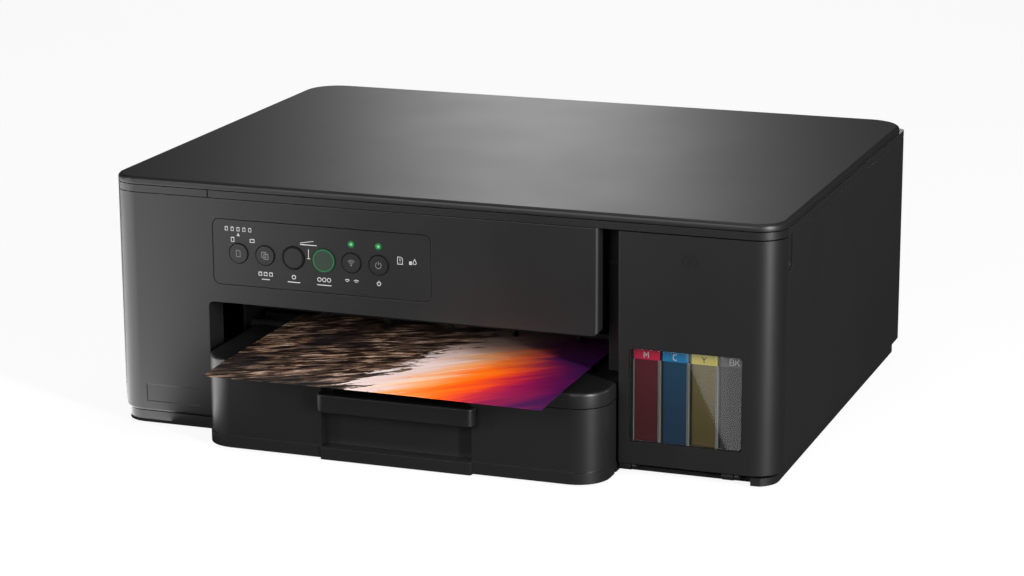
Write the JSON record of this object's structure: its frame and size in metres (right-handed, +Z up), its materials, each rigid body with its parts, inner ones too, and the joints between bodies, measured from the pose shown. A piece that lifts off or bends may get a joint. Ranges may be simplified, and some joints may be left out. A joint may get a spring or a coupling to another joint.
{
  "type": "inkjet printer",
  "caption": "Ink-tank all-in-one inkjet printer: flatbed scanner lid, front control buttons, window on four ink tanks, pull-out paper cassette and a printed sheet coming out.",
  "frame": {"origin": "middle of the bounding box on the table plane, printed sheet included", "axes": "+X to the right of the printer seen from the front, +Y to its rear, +Z up"},
  "size_m": [0.435, 0.402, 0.162],
  "materials": {
    "casing_black": "fine spark-eroded texture",
    "lid_black": "fine texture, satin",
    "inner_black": "smooth matt",
    "panel_black": "satin",
    "button_black": "satin",
    "rubber_black": "matt",
    "white_pad": "matt white sheet on foam",
    "scanner_glass": "polished",
    "window_clear": "clear moulded",
    "indicator_green": "lit light guide",
    "ink_magenta": "translucent, filled",
    "ink_cyan": "translucent, filled",
    "ink_yellow": "translucent, filled",
    "ink_black": "translucent, filled",
    "steel": "pressed sheet",
    "grey_plastic": "smooth",
    "white_plastic": "smooth",
    "board_green": "solder mask",
    "printed_paper": "satin photo print"
  },
  "bodies": {
    "printer": {"base_chassis": "casing_black", "foot_front_left": "rubber_black", "foot_front_right": "rubber_black", "foot_rear_left": "rubber_black", "foot_rear_right": "rubber_black", "front_cover": "casing_black", "left_side_cover": "casing_black", "right_side_cover": "casing_black", "rear_cover": "casing_black", "power_inlet": "inner_black", "ink_bay_wall": "inner_black", "control_panel": "panel_black", "indicator_light_guide": "indicator_green", "ink_tank_magenta": "ink_magenta", "ink_tank_cyan": "ink_cyan", "ink_tank_yellow": "ink_yellow", "ink_tank_black": "ink_black", "carriage_frame": "steel", "carriage_belt": "rubber_black", "carriage_motor": "steel", "platen": "inner_black", "star_wheel_holder": "grey_plastic", "capping_station": "inner_black", "main_board": "board_green", "power_supply": "grey_plastic"},
    "scanner_unit": {"scanner_housing": "casing_black", "scanner_glass": "scanner_glass", "scan_guide_rod": "steel"},
    "document_cover": {"document_cover": "lid_black", "cover_backing_pad": "white_pad", "lid_hinge_left": "grey_plastic", "lid_hinge_right": "grey_plastic"},
    "scan_bar": {"scan_bar": "inner_black"},
    "ink_cover": {"ink_cover": "casing_black", "ink_window": "window_clear"},
    "jam_clear_cover": {"jam_clear_cover": "casing_black"},
    "paper_tray": {"paper_tray": "casing_black", "tray_cover": "casing_black"},
    "paper_support": {"paper_support": "casing_black"},
    "width_guide_left": {"width_guide_left": "grey_plastic"},
    "width_guide_right": {"width_guide_right": "grey_plastic"},
    "length_guide": {"length_guide": "grey_plastic"},
    "print_carriage": {"print_carriage": "inner_black", "print_head": "steel"},
    "feed_roller": {"feed_roller": "rubber_black", "feed_gear": "white_plastic"},
    "exit_roller": {"exit_roller": "rubber_black"},
    "pickup_arm": {"pickup_arm": "grey_plastic"},
    "pickup_roller": {"pickup_roller": "rubber_black"},
    "printed_sheet": {"printed_sheet": "printed_paper"},
    "tank_cap_magenta": {"tank_cap_magenta": "grey_plastic"},
    "tank_cap_cyan": {"tank_cap_cyan": "grey_plastic"},
    "tank_cap_yellow": {"tank_cap_yellow": "grey_plastic"},
    "tank_cap_black": {"tank_cap_black": "grey_plastic"},
    "button_paper_size": {"button_paper_size": "button_black"},
    "button_copies": {"button_copies": "button_black"},
    "button_copy_mono": {"button_copy_mono": "button_black"},
    "button_copy_colour": {"button_copy_colour": "button_black"},
    "button_wifi": {"button_wifi": "button_black"},
    "button_power": {"button_power": "button_black"}
  },
  "joints": [
    {"name": "document_cover_hinge", "type": "hinge", "parent": "scanner_unit", "child": "document_cover", "pos_m": [0, 0.1976, 0.15735], "axis": [-1, 0, 0], "range_deg": [0, 85]},
    {"name": "scanner_unit_hinge", "type": "hinge", "parent": "printer", "child": "scanner_unit", "pos_m": [0, 0.1975, 0.1524], "axis": [-1, 0, 0], "range_deg": [0, 30]},
    {"name": "scan_bar_slide", "type": "slide", "parent": "scanner_unit", "child": "scan_bar", "axis": [1, 0, 0], "range_m": [0, 0.285]},
    {"name": "ink_cover_hinge", "type": "hinge", "parent": "printer", "child": "ink_cover", "pos_m": [0.1182, -0.123, 0.0062], "axis": [1, 0, 0], "range_deg": [0, 86]},
    {"name": "jam_cover_hinge", "type": "hinge", "parent": "printer", "child": "jam_clear_cover", "pos_m": [0, 0.1975, 0.0224], "axis": [-1, 0, 0], "range_deg": [0, 85]},
    {"name": "paper_tray_slide", "type": "slide", "parent": "printer", "child": "paper_tray", "axis": [0, -1, 0], "range_m": [0, 0.24]},
    {"name": "paper_support_slide", "type": "slide", "parent": "paper_tray", "child": "paper_support", "axis": [0, -1, 0], "range_m": [0, 0.08]},
    {"name": "width_guide_left_slide", "type": "slide", "parent": "paper_tray", "child": "width_guide_left", "axis": [1, 0, 0], "range_m": [0, 0.045]},
    {"name": "width_guide_right_slide", "type": "slide", "parent": "paper_tray", "child": "width_guide_right", "axis": [-1, 0, 0], "range_m": [0, 0.045]},
    {"name": "length_guide_slide", "type": "slide", "parent": "paper_tray", "child": "length_guide", "axis": [0, 1, 0], "range_m": [0, 0.12]},
    {"name": "carriage_slide", "type": "slide", "parent": "printer", "child": "print_carriage", "axis": [-1, 0, 0], "range_m": [0, 0.27]},
    {"name": "feed_roller_spin", "type": "hinge", "parent": "printer", "child": "feed_roller", "pos_m": [-0.01335, 0.022, 0.0547], "axis": [1, 0, 0], "continuous": true},
    {"name": "exit_roller_spin", "type": "hinge", "parent": "printer", "child": "exit_roller", "pos_m": [-0.01335, -0.062, 0.0547], "axis": [1, 0, 0], "continuous": true},
    {"name": "pickup_arm_hinge", "type": "hinge", "parent": "printer", "child": "pickup_arm", "pos_m": [-0.01335, 0.06, 0.05], "axis": [1, 0, 0], "range_deg": [0, 14]},
    {"name": "pickup_roller_spin", "type": "hinge", "parent": "pickup_arm", "child": "pickup_roller", "pos_m": [-0.01335, 0.096, 0.024], "axis": [1, 0, 0], "continuous": true},
    {"name": "printed_sheet_slide", "type": "slide", "parent": "printer", "child": "printed_sheet", "axis": [0, -1, 0], "range_m": [0, 0.11]},
    {"name": "button_paper_size_press", "type": "slide", "parent": "printer", "child": "button_paper_size", "axis": [0, 1, 0], "range_m": [0, 0.0012], "stiffness_N_per_m": 400},
    {"name": "button_copies_press", "type": "slide", "parent": "printer", "child": "button_copies", "axis": [0, 1, 0], "range_m": [0, 0.0012], "stiffness_N_per_m": 400},
    {"name": "button_copy_mono_press", "type": "slide", "parent": "printer", "child": "button_copy_mono", "axis": [0, 1, 0], "range_m": [0, 0.0012], "stiffness_N_per_m": 400},
    {"name": "button_copy_colour_press", "type": "slide", "parent": "printer", "child": "button_copy_colour", "axis": [0, 1, 0], "range_m": [0, 0.0012], "stiffness_N_per_m": 400},
    {"name": "button_wifi_press", "type": "slide", "parent": "printer", "child": "button_wifi", "axis": [0, 1, 0], "range_m": [0, 0.0012], "stiffness_N_per_m": 400},
    {"name": "button_power_press", "type": "slide", "parent": "printer", "child": "button_power", "axis": [0, 1, 0], "range_m": [0, 0.0012], "stiffness_N_per_m": 400},
    {"name": "tank_cap_magenta_hinge", "type": "hinge", "parent": "printer", "child": "tank_cap_magenta", "pos_m": [0.1345, -0.0945, 0.0946], "axis": [-1, 0, 0], "range_deg": [0, 105]},
    {"name": "tank_cap_cyan_hinge", "type": "hinge", "parent": "printer", "child": "tank_cap_cyan", "pos_m": [0.1524, -0.0945, 0.0946], "axis": [-1, 0, 0], "range_deg": [0, 105]},
    {"name": "tank_cap_yellow_hinge", "type": "hinge", "parent": "printer", "child": "tank_cap_yellow", "pos_m": [0.1703, -0.0945, 0.0946], "axis": [-1, 0, 0], "range_deg": [0, 105]},
    {"name": "tank_cap_black_hinge", "type": "hinge", "parent": "printer", "child": "tank_cap_black", "pos_m": [0.1906, -0.0945, 0.0946], "axis": [-1, 0, 0], "range_deg": [0, 105]}
  ],
  "couplings": [
    {"joint": "exit_roller_spin", "follows": "feed_roller_spin", "ratio": 1},
    {"joint": "width_guide_right_slide", "follows": "width_guide_left_slide", "ratio": 1}
  ]
}
